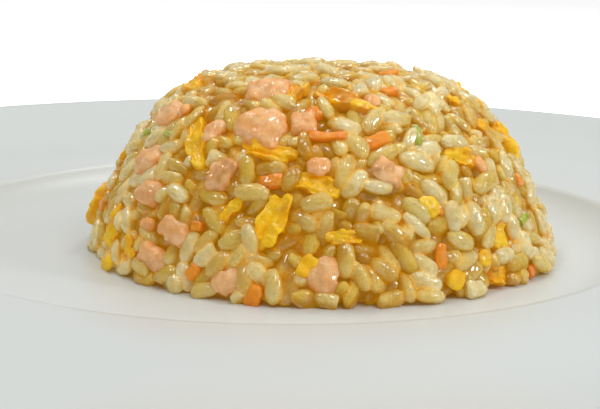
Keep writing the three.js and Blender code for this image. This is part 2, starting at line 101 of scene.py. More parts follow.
# Small pieces at the front: azimuth, latitude, turn from level, length and width.
CARROT_PIECES = (
    (-90, 59, -3, 8.2, 2.0), (-75, 57, 20, 5.7, 3.0), (-94, 66, 20, 3.6, 2.9), (-60, 75, 0, 3.4, 2.2),
    (-31, 84, -20, 4.6, 2.9), (-104, 46, 10, 4.2, 2.6), (-121, 32, 0, 2.7, 2.2), (-120, 17, 60, 3.2, 2.6),
    (-105, 10, 75, 4.2, 3.0), (-63, 25, 85, 5.2, 2.2), (-34, 10, 0, 2.6, 2.4), (-24, 41, 60, 2.8, 2.2),
    (-61, 38, 80, 2.4, 1.6), (-15, 19, 70, 3.5, 2.2),
)
ONION_PIECES = (
    (-161, 53, 40, 3.4, 2.2), (-145, 55, 0, 2.4, 1.4), (-61, 58, 80, 4.8, 1.8), (-52, 34, 80, 3.6, 1.8),
    (-31, 30, 30, 2.6, 1.8), (-169, 8, 60, 2.0, 1.6),
)
EGG_CRUMBS = (
    (-139, 19, 0, 2.4, 2.0), (-94, 23, 40, 5.0, 3.4), (-28, 58, 0, 3.6, 2.8), (-64, 39, -50, 4.8, 3.2),
    (-31, 68, -10, 5.0, 2.2), (-12, 64, 0, 2.6, 2.4), (-51, 22, 0, 3.0, 2.6), (-60, 16, 20, 5.0, 3.6),
    (-149, 9, 20, 5.0, 3.6), (-142, 21, 60, 4.6, 3.0), (-153, 30, 70, 4.4, 2.8),
)
SALMON_CRUMBS = (
    (-126, 58, 75, 6.2, 3.6), (-92, 50, 20, 4.6, 3.6), (-72, 70, -40, 3.8, 2.8), (-42, 48, 80, 3.6, 2.0),
    (-170, 27, 0, 2.6, 2.4), (-146, 62, 20, 4.8, 3.2), (-137, 30, 0, 4.0, 2.8),
)

# ---------------------------------------- the dome's surface


def foot_reach(azimuths):
    """How far the foot reaches out at some azimuths, in radians."""
    degrees, reach = np.array(FOOT_REACH, float).T
    return np.interp(np.degrees(azimuths), degrees, reach)


def outside(points):
    """How far points lie outside the dome's surface, and the way straight out at each."""
    across, up = DOME_FULLNESS
    local = points - DOME_FOOT
    radius = np.hypot(local[:, 0], local[:, 1])
    height = np.maximum(local[:, 2], 0.02)
    spill = foot_reach(np.arctan2(local[:, 1], local[:, 0])) / DOME_RADIUS - 1
    full = DOME_RADIUS * (1 + spill * np.exp(-height / FOOT_BAND))
    level = (radius / full) ** across + (height / DOME_HEIGHT) ** up - 1
    slope_out = across / full * (radius / full) ** (across - 1)
    slope_up = up / DOME_HEIGHT * (height / DOME_HEIGHT) ** (up - 1)
    around = local[:, :2] / np.maximum(radius, 1e-6)[:, None]
    way = np.column_stack((around * slope_out[:, None], slope_up))
    steepness = np.linalg.norm(way, axis=1)
    return level / steepness, way / steepness[:, None]


def outline(latitude):
    """Radius and height of the dome's outline at some latitudes, in degrees."""
    across, up = DOME_FULLNESS
    angle = np.radians(latitude)
    return (DOME_RADIUS * np.maximum(np.cos(angle), 0) ** (2 / across),
            DOME_HEIGHT * np.sin(angle) ** (2 / up))


def surface_points(azimuths, latitudes):
    radius, height = outline(latitudes)
    angle = np.radians(azimuths)
    return DOME_FOOT + np.column_stack((radius * np.cos(angle), radius * np.sin(angle), height))


def latitudes_at(shares):
    """Latitudes with some shares of the dome's surface under them."""
    steps = np.linspace(0, 90, 2001)
    radius, height = outline(steps)
    bands = np.hypot(np.diff(radius), np.diff(height)) * (radius[1:] + radius[:-1])
    below = np.concatenate(((0,), np.cumsum(bands)))
    return np.interp(np.asarray(shares) * below[-1], below, steps)


def seat_frame(azimuth, latitude, turn=0.0, tilt=0.0, sunk=0.0):
    """A matrix with X along the piece, Y across it and Z straight out of the dome."""
    point = surface_points(np.array((azimuth,)), np.array((latitude,)))
    _, way = outside(point)
    out = Vector(way[0])
    level = Vector((-math.sin(math.radians(azimuth)), math.cos(math.radians(azimuth)), 0))
    upslope = out.cross(level)
    place = Vector(point[0]) - out * sunk
    turned = Matrix((level, upslope, out)).transposed().to_4x4()
    turned.translation = place
    return turned @ Matrix.Rotation(math.radians(turn), 4, "Z") @ Matrix.Rotation(math.radians(tilt), 4, "Y")


# ---------------------------------------- mesh helpers


def made_mesh(name, bm):
    """Turns a bmesh into a mesh, and frees it."""
    mesh = bpy.data.meshes.new(name)
    bm.to_mesh(mesh)
    bm.free()
    return mesh


def new_object(name, data):
    made = bpy.data.objects.new(name, data)
    bpy.context.collection.objects.link(made)
    return made


def finished(name, bm, material, nodes):
    """Turns a bmesh in millimetres into a piece of the object in metres."""
    bmesh.ops.scale(bm, vec=(MM, MM, MM), verts=bm.verts)
    mesh = made_mesh(name, bm)
    mesh.shade_smooth()
    mesh.materials.append(material)
    piece = new_object(name, mesh)
    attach(piece, "root")
    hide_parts(*nodes)


def node_solid(name):
    """A merged copy of a CAD node's mesh, in millimetres."""
    bm = bmesh.new()
    bm.from_mesh(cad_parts[name].data)
    bmesh.ops.scale(bm, vec=(1 / MM,) * 3, verts=bm.verts)
    bmesh.ops.remove_doubles(bm, verts=bm.verts, dist=0.01)
    return bm


def rough(bm, amount, scale, seed, octaves=3):
    """Moves each corner along its normal by fractal noise."""
    shift = Vector((seed * 7.31, seed * 3.17, seed * 5.03))
    bm.normal_update()
    moves = [
        vert.normal * amount * noise.fractal(vert.co * scale + shift, 1.0, 2.0, octaves)
        for vert in bm.verts
    ]
    for vert, move in zip(bm.verts, moves):
        vert.co += move


def mark(bm, name, values):
    """Gives each corner a value that materials can read."""
    layer = bm.verts.layers.float.new(name)
    for vert, value in zip(bm.verts, values):
        vert[layer] = value


def mark_place(bm):
    """Marks how deep each corner lies in the dome, and how squarely it faces out of it."""
    depth, ways = outside(np.array([vert.co for vert in bm.verts]))
    bm.normal_update()
    mark(bm, "depth", -depth)
    mark(bm, "facing", [vert.normal.dot(Vector(way)) for vert, way in zip(bm.verts, ways)])


def join(bm, other):
    """Adds another bmesh to a bmesh, and frees it."""
    scratch = made_mesh("scratch", other)
    bm.from_mesh(scratch)
    bpy.data.meshes.remove(scratch)


def spun(section, centre, steps):
    """Turns a section, as radii and heights, about an upright line through a centre."""
    bm = bmesh.new()
    x, y, z = centre
    verts = [bm.verts.new((x + radius, y, z + height)) for radius, height in section]
    edges = [bm.edges.new(pair) for pair in zip(verts, verts[1:])]
    bmesh.ops.spin(
        bm, geom=verts + edges, cent=(x, y, z), axis=(0, 0, 1), angle=2 * math.pi,
        steps=steps, use_merge=True,
    )
    bmesh.ops.remove_doubles(bm, verts=bm.verts, dist=1e-4)
    return bm


# ---------------------------------------- material helpers


def new_group(name, inputs, outputs):
    """A node group whose sockets are all numbers, what it is given and what it gives."""
    tree = bpy.data.node_groups.new(name, "ShaderNodeTree")
    for title, value in inputs.items():
        socket = tree.interface.new_socket(title, in_out="INPUT", socket_type="NodeSocketFloat")
        socket.default_value = value
    for title in outputs:
        tree.interface.new_socket(title, in_out="OUTPUT", socket_type="NodeSocketFloat")
    return tree, tree.nodes.new("NodeGroupInput").outputs, tree.nodes.new("NodeGroupOutput").inputs


def add(tree, kind, settings=None, **inputs):
    """Adds a node. An input is named with underscores for spaces, or i and its number. A socket is
    linked to it, and a value is set."""
    made = tree.nodes.new(kind)
    for key, value in (settings or {}).items():
        setattr(made, key, value)
    for key, value in inputs.items():
        numbered = key[0] == "i" and key[1:].isdigit()
        socket = made.inputs[int(key[1:]) if numbered else key.replace("_", " ")]
        if isinstance(value, bpy.types.NodeSocket):
            tree.links.new(value, socket)
        else:
            socket.default_value = value
    return made


def colour_mix(tree, factor, first, second):
    mixed = add(tree, "ShaderNodeMix", {"data_type": "RGBA"}, i0=factor, i6=first, i7=second)
    return mixed.outputs[2]


def spread(tree, value, low, high, to_low=0.0, to_high=1.0, smooth=False):
    """Maps a value from one range to another, and keeps it inside that."""
    steps = "SMOOTHSTEP" if smooth else "LINEAR"
    mapped = add(
        tree, "ShaderNodeMapRange", {"clamp": True, "interpolation_type": steps},
        Value=value, From_Min=low, From_Max=high, To_Min=to_low, To_Max=to_high,
    )
    return mapped.outputs["Result"]


def times_plus(tree, value, factor, more, clamp=False):
    """A value times a factor, plus more."""
    settings = {"operation": "MULTIPLY_ADD", "use_clamp": clamp}
    return add(tree, "ShaderNodeMath", settings, i0=value, i1=factor, i2=more).outputs[0]


def new_material(name):
    material = bpy.data.materials.new(name)
    material.use_nodes = True
    tree = material.node_tree
    shader = tree.nodes["Principled BSDF"]
    return material, tree, shader


def set_values(shader, **inputs):
    """Sets a shader's own sockets, each named with underscores for spaces."""
    for name, value in inputs.items():
        shader.inputs[name.replace("_", " ")].default_value = value


def attribute(tree, name):
    settings = {"attribute_name": name, "attribute_type": "GEOMETRY"}
    return add(tree, "ShaderNodeAttribute", settings).outputs["Fac"]


def object_coordinates(tree):
    return add(tree, "ShaderNodeTexCoord").outputs["Object"]


def clouds(tree, scale, detail, **more):
    """Soft noise that lies still on a piece."""
    return add(tree, "ShaderNodeTexNoise", Vector=object_coordinates(tree), Scale=scale, Detail=detail,
               **more).outputs["Fac"]


def moist_surface_group():
    """Wet and drier patches and fine dimples of a cooked, oiled surface."""
    tree, given, result = new_group(
        "Moist Surface",
        {"Patch Scale": 300.0, "Dimple Scale": 1500.0, "Wet": 0.15, "Dry": 0.5},
        ("Roughness", "Height", "Film"),
    )
    patches = clouds(tree, given["Patch Scale"], 3.0)
    dimples = clouds(tree, given["Dimple Scale"], 4.0, Roughness=0.6)
    roughness = spread(tree, patches, 0.35, 0.65, given["Wet"], given["Dry"])
    height = times_plus(tree, patches, 1.6, dimples)
    tree.links.new(spread(tree, patches, 0.55, 0.45), result["Film"])
    tree.links.new(roughness, result["Roughness"])
    tree.links.new(height, result["Height"])
    return tree


def oil_soaking_and_shade_group():
    """How far sauce and oil, with painted shade, colour a place: more with depth, a painted shade that
    darkens the gaps between pieces, and more where it faces aside, a painted shade on their sides that
    also stands for light seen through a grain's edge.
    """
    tree, given, result = new_group(
        "Oil Soaking And Painted Shade",
        {"Least Depth": 0.0, "Full Depth": 3.5, "Side": 0.4, "Patches": 0.4},
        ("Amount",),
    )
    sunk = spread(tree, attribute(tree, "depth"), given["Least Depth"], given["Full Depth"])
    aside = spread(tree, attribute(tree, "facing"), 0.62, -0.05)
    sides = times_plus(tree, aside, given["Side"], sunk)
    patches = spread(tree, clouds(tree, 240.0, 2.0), 0.3, 0.7, -0.5, 0.5)
    zones = spread(tree, clouds(tree, 42.0, 1.0), 0.3, 0.7, -0.7, 0.7)
    uneven = add(tree, "ShaderNodeMath", i0=patches, i1=zones).outputs[0]
    amount = times_plus(tree, uneven, given["Patches"], sides, clamp=True)
    tree.links.new(amount, result["Amount"])
    return tree


MOIST = moist_surface_group()
SOAKING_AND_SHADE = oil_soaking_and_shade_group()


def moist(tree, shader, patch, dimple, wet, dry, strength, distance, film_weight=1.0):
    """Gives a shader the shared moist surface with its own values."""
    film = add(tree, "ShaderNodeGroup", {"node_tree": MOIST},
               Patch_Scale=patch, Dimple_Scale=dimple, Wet=wet, Dry=dry)
    tree.links.new(film.outputs["Roughness"], shader.inputs["Roughness"])
    tree.links.new(spread(tree, film.outputs["Film"], 0, 1, 0, film_weight), shader.inputs["Coat Weight"])
    set_values(shader, Coat_Roughness=0.04, Coat_IOR=1.9, IOR=1.4)
    bump = add(tree, "ShaderNodeBump", Strength=strength, Distance=distance, Height=film.outputs["Height"])
    tree.links.new(bump.outputs["Normal"], shader.inputs["Normal"])


def soaked_and_shaded(tree, least, full, side, patches):
    """The shared soaking and painted shade, from none at the least depth in the dome to all at the full
    depth.
    """
    given = add(tree, "ShaderNodeGroup", {"node_tree": SOAKING_AND_SHADE},
                Least_Depth=least, Full_Depth=full, Side=side, Patches=patches)
    return given.outputs["Amount"]


def see_into(shader, weight, radius, scale):
    shader.subsurface_method = "BURLEY"
    set_values(shader, Subsurface_Weight=weight, Subsurface_Radius=radius, Subsurface_Scale=scale)


def glow_within(tree, shader, amount, own, colour, strength):
    """Stands for light that has come through the grain and, deep down, through its neighbours."""
    tree.links.new(colour_mix(tree, amount, own, colour), shader.inputs["Emission Color"])
    set_values(shader, Emission_Strength=strength)


def rice_material(name, body, edge, deep, wet, dry):
    """Rice that is pale outside, and the colour of its oil where the grain's own tone, its depth and its
    side soak it, with painted shade there too: darker deep between the grains and at their sides."""
    material, tree, shader = new_material(name)
    own = times_plus(tree, attribute(tree, "tone"), 0.5, -0.25)
    amount = add(tree, "ShaderNodeMath", {"use_clamp": True},
                 i0=own, i1=soaked_and_shaded(tree, -0.4, 2.6, 0.3, 0.55)).outputs[0]
    clouded = colour_mix(tree, spread(tree, clouds(tree, 460.0, 3.0), 0.4, 0.66, 0.0, 0.65), body, edge)
    outer = colour_mix(tree, spread(tree, amount, 0.08, 0.5), clouded, edge)
    full = colour_mix(tree, spread(tree, amount, 0.5, 1.0), outer, deep)
    tree.links.new(full, shader.inputs["Base Color"])
    see_into(shader, 0.85, (1.0, 0.8, 0.5), 0.0018)
    glow_within(tree, shader, amount, full, (0.74, 0.38, 0.008, 1), 0.21)
    moist(tree, shader, 300.0, 1400.0, wet, dry, 0.5, 0.0006, 0.85)
    return material


def core_material():
    material, tree, shader = new_material("oiled core of the heap")
    cloudy = clouds(tree, 260.0, 4.0)
    body = colour_mix(tree, spread(tree, cloudy, 0.35, 0.65), (0.54, 0.20, 0.006, 1), (0.66, 0.36, 0.02, 1))
    tree.links.new(body, shader.inputs["Base Color"])
    glow_within(tree, shader, cloudy, body, (0.8, 0.34, 0.02, 1), 0.2)
    moist(tree, shader, 350.0, 1300.0, 0.2, 0.45, 0.5, 0.001)
    return material


def salmon_material():
    material, tree, shader = new_material("cooked salmon")
    flakes = add(tree, "ShaderNodeTexWave", {"wave_type": "BANDS", "bands_direction": "DIAGONAL"},
                 Vector=object_coordinates(tree), Scale=95.0, Distortion=6.0, Detail=3.0, Detail_Scale=1.6)
    flesh = colour_mix(tree, spread(tree, clouds(tree, 210.0, 4.0), 0.35, 0.68),
                       (0.77, 0.36, 0.12, 1), (0.86, 0.48, 0.20, 1))
    fatty = spread(tree, flakes.outputs["Fac"], 0.5, 1.0, 0.0, 0.4)
    lined = colour_mix(tree, fatty, flesh, (0.90, 0.62, 0.34, 1))
    # Darker with depth in the dome and where it faces aside: the oil's colour together with painted shade.
    oiled = colour_mix(tree, soaked_and_shaded(tree, 0.8, 4.0, 0.7, 0.4), lined, (0.82, 0.32, 0.03, 1))
    browned = spread(tree, attribute(tree, "browned"), 0.7, 1.1, 0.0, 0.7, smooth=True)
    full = colour_mix(tree, browned, oiled, (0.50, 0.20, 0.03, 1))
    tree.links.new(full, shader.inputs["Base Color"])
    see_into(shader, 0.7, (1.0, 0.6, 0.35), 0.0018)
    glow_within(tree, shader, browned, full, (0.5, 0.2, 0.03, 1), 0.14)
    moist(tree, shader, 420.0, 1100.0, 0.3, 0.55, 0.5, 0.0006, 0.4)
    return material


def egg_material():
    material, tree, shader = new_material("scrambled egg")
    body = colour_mix(tree, spread(tree, clouds(tree, 200.0, 5.0, Roughness=0.6), 0.35, 0.62),
                      (0.82, 0.42, 0.003, 1), (0.90, 0.57, 0.010, 1))
    # Darker with depth in the dome and where it faces aside: the oil's colour together with painted shade.
    oiled = colour_mix(tree, soaked_and_shaded(tree, 1.2, 4.2, 0.5, 0.5), body, (0.74, 0.30, 0.003, 1))
    browned = spread(tree, attribute(tree, "browned"), 0.7, 1.1, 0.0, 0.8, smooth=True)
    full = colour_mix(tree, browned, oiled, (0.62, 0.22, 0.01, 1))
    tree.links.new(full, shader.inputs["Base Color"])
    see_into(shader, 0.5, (1.0, 0.8, 0.3), 0.001)
    glow_within(tree, shader, browned, full, (0.55, 0.2, 0.01, 1), 0.16)
    moist(tree, shader, 420.0, 1200.0, 0.25, 0.5, 0.4, 0.0003, 0.35)
    return material


def carrot_material():
    material, tree, shader = new_material("carrot")
    cloudy = clouds(tree, 300.0, 3.0)
    body = colour_mix(tree, spread(tree, cloudy, 0.35, 0.65), (0.84, 0.23, 0.008, 1), (0.88, 0.34, 0.02, 1))
    # Darker with depth in the dome and where it faces aside: the oil's colour together with painted shade.
    oiled = colour_mix(tree, soaked_and_shaded(tree, 0.4, 3.6, 0.4, 0.4), body, (0.72, 0.18, 0.008, 1))
    tree.links.new(oiled, shader.inputs["Base Color"])
    see_into(shader, 0.6, (1.0, 0.45, 0.1), 0.0014)
    glow_within(tree, shader, cloudy, oiled, body, 0.12)
    moist(tree, shader, 480.0, 1200.0, 0.2, 0.4, 0.3, 0.0005, 0.5)
    return material


def onion_material():
    material, tree, shader = new_material("spring onion")
    body = colour_mix(tree, spread(tree, clouds(tree, 420.0, 2.0), 0.3, 0.7),
                      (0.36, 0.42, 0.02, 1), (0.62, 0.62, 0.10, 1))
    # Darker with depth in the dome and where it faces aside: the oil's colour together with painted shade.
    oiled = colour_mix(tree, soaked_and_shaded(tree, 0.6, 4.0, 0.35, 0.3), body, (0.38, 0.32, 0.01, 1))
    tree.links.new(oiled, shader.inputs["Base Color"])
    see_into(shader, 0.4, (0.6, 1.0, 0.2), 0.0012)
    moist(tree, shader, 380.0, 1200.0, 0.15, 0.4, 0.25, 0.0004)
    return material


def porcelain_material():
    material, tree, shader = new_material("white porcelain glaze")
    cloudy = clouds(tree, 14.0, 3.0)
    body = colour_mix(tree, cloudy, (0.70, 0.735, 0.715, 1), (0.73, 0.76, 0.735, 1))
    tree.links.new(body, shader.inputs["Base Color"])
    tree.links.new(spread(tree, cloudy, 0.3, 0.7, 0.32, 0.4), shader.inputs["Roughness"])
    bump = add(tree, "ShaderNodeBump", Strength=0.03, Distance=0.001, Height=clouds(tree, 55.0, 2.0))
    tree.links.new(bump.outputs["Normal"], shader.inputs["Normal"])
    return material


# ---------------------------------------- the plate


def curve_points(first, handle_one, handle_two, last, count):
    """Points along a Bezier curve, without its first."""
    share = np.linspace(0, 1, count + 1)[1:, None]
    first, handle_one, handle_two, last = map(np.array, (first, handle_one, handle_two, last))
    rest = 1 - share
    return (rest ** 3 * first + 3 * rest ** 2 * share * handle_one
            + 3 * rest * share ** 2 * handle_two + share ** 3 * last)


def spline_points(knots, count):
    """Points along a smooth curve through some knots, without its first."""
    knots = np.array(knots, float)
    padded = np.vstack((2 * knots[0] - knots[1], knots, 2 * knots[-1] - knots[-2]))
    points = []
    for before, start, end, after in zip(padded, padded[1:], padded[2:], padded[3:]):
        for share in np.linspace(0, 1, count + 1)[1:]:
            points.append(0.5 * (
                2 * start + (end - before) * share
                + (2 * before - 5 * start + 4 * end - after) * share ** 2
                + (3 * start - before - 3 * end + after) * share ** 3))
    return np.array(points)


def plate_section():
    """Radius and height of the plate's section, from the middle of its face to that of its back."""
    top = FLOOR_TOP
    floor = np.array(((0, top), (20, top), (45, top), (FLOOR_RADIUS - 2, top), (FLOOR_RADIUS, top)))
    crest = (CREST_RADIUS, top + CREST_RISE)
    cove = curve_points((FLOOR_RADIUS, top), (75, top), (CREST_RADIUS - 2.5, top + 2.7), crest, 12)
    edge = (PLATE_RADIUS - 1.5 * RIM_ROUND, top + RIM_RISE - RIM_ROUND / 4)
    flange = spline_points((crest, *((radius, top + rise) for radius, rise in FLANGE), edge), 9)
    angles = np.radians(np.linspace(75, -75, 8))
    rim = np.column_stack((
        PLATE_RADIUS - RIM_ROUND + RIM_ROUND * np.cos(angles),
        top + RIM_RISE - RIM_ROUND + RIM_ROUND * np.sin(angles)))
    under = flange[-5:3:-1] + (1, -WALL)
    out, inn = FOOT_RADIUS + FOOT_WIDTH / 2, FOOT_RADIUS - FOOT_WIDTH / 2
    foot = np.array((
        (out + 5.5, top - 0.4), (out + 3.2, top - 1.6), (out + 1.4, top - 3.4), (out + 0.6, FOOT_DEPTH),
        (out + 0.2, 0.7), (out - 0.5, 0.0), (inn + 0.5, 0.0), (inn - 0.2, 0.7), (inn - 0.6, 2.2),
        (inn - 1.8, FOOT_DEPTH), (0.6 * inn, FOOT_DEPTH), (0.2 * inn, FOOT_DEPTH), (0, FOOT_DEPTH)))
    return np.vstack((floor, cove, flange, rim, under, foot))


def make_plate():
    bm = spun(plate_section(), (0, 0, 0), PLATE_STEPS)
    bmesh.ops.dissolve_degenerate(bm, edges=bm.edges, dist=1e-5)
    bmesh.ops.recalc_face_normals(bm, faces=bm.faces)
    finished("plate", bm, porcelain_material(), nodes=("plate",))


# ---------------------------------------- salmon and egg

# Balls in front of each piece keep grains off it: their size over that of the balls that fill the
# piece, and how far out of the dome they lie.
SALMON_GUARD = 0.75
EGG_GUARD = 1.1
SMALL_GUARD = 0.7
GUARD_LIFTS = (1.5, 2.9)


def mark_browned(bm, seed, extra=0.0):
    mark(bm, "browned", [
        extra + 0.5 + 0.5 * noise.fractal(vert.co * 0.35 + Vector((seed, 0, 0)), 1.0, 2.0, 3)
        for vert in bm.verts
    ])


def divide(bm, cuts):
    bmesh.ops.subdivide_edges(bm, edges=bm.edges, cuts=cuts, use_grid_fill=True)


def soften(bm, times):
    for _ in range(times):
        bmesh.ops.smooth_vert(
            bm, verts=bm.verts, factor=0.5, use_axis_x=True, use_axis_y=True, use_axis_z=True)


def extent(bm):
    """The size of a mesh along X, Y and Z, and its middle."""
    places = np.array([vert.co for vert in bm.verts])
    return places.max(0) - places.min(0), (places.max(0) + places.min(0)) / 2


def salmon_chunk(name, seed):
    """A solid's plain chunk made round, its surface broken into flakes."""
    bm = node_solid(name)
    size, middle = extent(bm)
    divide(bm, 2)
    soften(bm, 3)
    rough(bm, 0.15 * min(size), 0.24, seed, 2)
    divide(bm, 1)
    soften(bm, 1)
    rough(bm, 0.5, 0.5, seed + 0.7, 2)
    rounded, _ = extent(bm)
    move = Matrix.Translation(-Vector(middle))
    bmesh.ops.scale(bm, vec=SALMON_FULLNESS * size / rounded, space=move, verts=bm.verts)
    grain = Vector((math.cos(seed * 2.1), math.sin(seed * 2.1), 0.8 * math.sin(seed))).normalized()
    bm.normal_update()
    for vert in bm.verts:
        run = vert.co.dot(grain) + 1.2 * noise.noise(vert.co * 0.35)
        vert.co += vert.normal * 0.3 * (abs(math.sin(run * 1.1)) ** 0.5 - 0.75)
    rough(bm, 0.22, 0.9, seed + 0.5, 3)
    return bm


def torn_sheet(length, width, seed):
    """A torn piece of omelette: a ragged sheet, wrinkled, rolled at its edges, given its thickness."""
    bm = bmesh.new()
    bmesh.ops.create_grid(bm, x_segments=30, y_segments=16, size=1)
    shift = Vector((seed * 9.7, seed * 4.1, 0))
    lean = math.sin(seed * 2.3)
    for vert in bm.verts:
        u, v, _ = vert.co
        x = u * math.sqrt(1 - 0.45 * v * v)
        y = v * math.sqrt(1 - 0.45 * u * u)
        edge = max(abs(u), abs(v)) ** 2
        ragged = noise.fractal(Vector((x * 1.6, y * 1.0, 0)) + shift, 1.0, 2.0, 2)
        reach = 1 + 0.36 * edge * min(max(ragged, -0.7), 0.5)
        x, y = x * reach * length / 2, y * reach * width / 2
        fold = noise.fractal(Vector((x * 0.16, y * 0.3, seed)), 1.0, 2.0, 2)
        ridge = 0.5 - abs(noise.noise(Vector((x * 0.16 + lean * y * 0.3, y * 0.5, seed * 2.0))))
        roll = 0.5 + noise.noise(Vector((x * 0.15, seed * 1.7, 0)))
        bend = (x * x + y * y) / (2 * DOME_RADIUS)
        lift = EGG_CRUMPLE * (fold + 1.3 * ridge)
        lift += 0.36 * width * roll * (abs(v) ** 3 - 0.35) * (1 + 0.6 * lean * v)
        vert.co = (x, y * (1 - 0.12 * v * v), 0.8 * lift - bend)
    bmesh.ops.solidify(bm, geom=bm.faces[:], thickness=EGG_THICKNESS)
    bmesh.ops.recalc_face_normals(bm, faces=bm.faces)
    soften(bm, 1)
    divide(bm, 1)
    rough(bm, 0.75, 0.33, seed + 0.3, 2)
    soften(bm, 1)
    rough(bm, 0.2, 0.9, seed + 0.6, 2)
    return bm


def topping_place(name):
    """The middle of a CAD topping, a matrix with X along it and Z out, and its size along each."""
    places = np.array([vert.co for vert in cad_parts[name].data.vertices]) / MM
    middle = (places.min(0) + places.max(0)) / 2
    _, way = outside(middle[None])
    flat = places - middle
    flat -= np.outer(flat @ way[0], way[0])
    along = np.linalg.svd(flat, full_matrices=False)[2][0]
    axes = np.array((along, np.cross(way[0], along), way[0]))
    reach = (places - middle) @ axes.T
    low, high = reach.min(0), reach.max(0)
    centre = middle + (low + high) / 2 @ axes
    turned = Matrix(axes.tolist()).transposed().to_4x4()
    turned.translation = Vector(centre)
    return turned, high - low


def egg_sheet(name, seed):
    """A torn sheet that lies along the outer side of its solid."""
    placed, size = topping_place(name)
    bm = torn_sheet(*(size[:2] * EGG_FULLNESS), seed)
    out = placed.to_3x3() @ Vector((0, 0, 1))
    placed.translation += out * (size[2] / 2 - EGG_SINK)
    bmesh.ops.transform(bm, matrix=placed, verts=bm.verts)
    return bm


def enclosed(tree, point):
    """Whether a closed mesh surrounds a point: a ray out of it meets a face's back first."""
    for way in (Vector((0, 0, 1)), Vector((0, 1, 0)), Vector((1, 0, 0))):
        _, normal, _, _ = tree.ray_cast(point, way)
        if normal is None or normal.dot(way) <= 0:
            return False
    return True


def filling_balls(bm, step, least):
    """Balls that fill a closed mesh, as middles and radii."""
    bm.normal_update()
    tree = BVHTree.FromBMesh(bm)
    places = np.array([vert.co for vert in bm.verts])
    low, high = places.min(0), places.max(0)
    rows = (np.arange(a + step / 2, b, step) for a, b in zip(low, high))
    grid = np.stack(np.meshgrid(*rows, indexing="ij"), -1)
    balls = []
    for point in grid.reshape(-1, 3):
        distance = tree.find_nearest(Vector(point))[3]
        if distance > least and enclosed(tree, Vector(point)):
            balls.append((*point, distance))
    return balls


def in_front(balls, share):
    """The balls at another size, moved out of the dome, so that no grain lies over a piece."""
    spots = np.array(balls)
    _, ways = outside(spots[:, :3])
    return [
        (*place, radius) for lift in GUARD_LIFTS
        for place, radius in zip(spots[:, :3] + ways * lift, share * spots[:, 3])
    ]


def make_toppings(kind, material, shape, browned, guard, step, least):
    """Makes a piece for each solid of a kind. Gives the balls that fill them, a step apart and of a
    least radius, and those in front of them."""
    balls, guards = [], []
    names = sorted(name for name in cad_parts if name.startswith(kind))
    for seed, name in enumerate(names):
        bm = shape(name, seed + 1)
        filling = filling_balls(bm, step, least)
        balls += filling
        guards += in_front(filling, guard)
        mark_place(bm)
        mark_browned(bm, seed, browned.get(name, 0))
        finished(name, bm, material, nodes=(name,))
    return balls, guards


# ---------------------------------------- small pieces


def die(size, seed):
    """A small diced piece: a block with soft, uneven edges."""
    bm = bmesh.new()
    bmesh.ops.create_cube(bm, size=1)
    bmesh.ops.scale(bm, vec=size, verts=bm.verts)
    divide(bm, 2)
    rough(bm, 0.8, 0.25, seed, 2)
    soften(bm, 1)
    divide(bm, 1)
    soften(bm, 3)
    rough(bm, 0.25, 0.8, seed + 0.4, 2)
    return bm


def leaf_bit(size, seed):
    """A chopped piece of spring onion: a thin strip, curled across its width."""
    bm = bmesh.new()
    bmesh.ops.create_grid(bm, x_segments=8, y_segments=6, size=0.5)
    for vert in bm.verts:
        x, y, _ = vert.co
        curl = -1.3 * size[1] * y * y - 0.25 * size[0] * x * x
        vert.co = (x * size[0] * (1 - 0.3 * y), y * size[1], curl)
    bmesh.ops.solidify(bm, geom=bm.faces[:], thickness=size[2])
    bmesh.ops.recalc_face_normals(bm, faces=bm.faces)
    divide(bm, 1)
    soften(bm, 1)
    rough(bm, 0.3, 0.5, seed, 2)
    return bm


def crumb(size, seed):
    """A small flaked piece."""
    bm = bmesh.new()
    bmesh.ops.create_icosphere(bm, subdivisions=3, radius=0.5)
    bmesh.ops.scale(bm, vec=size, verts=bm.verts)
    rough(bm, 0.9, 0.45, seed, 3)
    return bm


GOLDEN_SHARE = 0.618034


def back_seats(count, size, start):
    """Seats over the back half of the dome for pieces that are like those of the front."""
    for number in range(count):
        share = 0.06 + 0.9 * (number + 0.5) / count
        azimuth = 4 + 172 * ((start + number * GOLDEN_SHARE) % 1)
        length, width = size * chance.uniform(0.8, 1.25, 2) * (1, 0.6)
        yield azimuth, float(latitudes_at(share)), chance.uniform(-90, 90), length, width


def make_small(name, material, front, back, shape, depth, sunk, tilt):
    """Joins small pieces of one kind, each sunk into its seat. Depth is their thickness over their
    width, and tilt how far they lean, in degrees."""
    bits = bmesh.new()
    balls = []
    for seed, (azimuth, latitude, turn, length, width) in enumerate((*front, *back)):
        piece = shape((length, width, depth * width), seed + len(name))
        placed = seat_frame(azimuth, latitude, turn, chance.normal(0, tilt), sunk)
        bmesh.ops.transform(piece, matrix=placed, verts=piece.verts)
        balls += filling_balls(piece, 0.8, 0.25)
        join(bits, piece)
    mark_place(bits)
    mark_browned(bits, 3)
    finished(name, bits, material, nodes=("rice_heap",))
    return balls


# ---------------------------------------- packing the rice


def close_pairs(points, reach):
    """Pairs of points nearer than about reach, found cell by cell."""
    cells = np.floor(points / reach).astype(np.int64)
    cells -= cells.min(0) - 1
    span = cells.max(0) + 2
    stride = np.array((span[1] * span[2], span[2], 1))
    keys = cells @ stride
    order = np.argsort(keys, kind="stable")
    ordered = keys[order]
    shifts = [(x, y, z) for x in (-1, 0, 1) for y in (-1, 0, 1) for z in (-1, 0, 1)]
    found = []
    for shift in shifts[13:]:
        wanted = keys + np.array(shift) @ stride
        start = np.searchsorted(ordered, wanted, "left")
        count = np.searchsorted(ordered, wanted, "right") - start
        one = np.repeat(np.arange(len(points)), count)
        within = np.arange(count.sum()) - np.repeat(np.cumsum(count) - count, count)
        other = order[np.repeat(start, count) + within]
        if shift == (0, 0, 0):
            keep = one < other
            one, other = one[keep], other[keep]
        found.append(np.column_stack((one, other)))
    pairs = np.vstack(found)
    gap = points[pairs[:, 0]] - points[pairs[:, 1]]
    return pairs[(gap ** 2).sum(1) < reach ** 2]


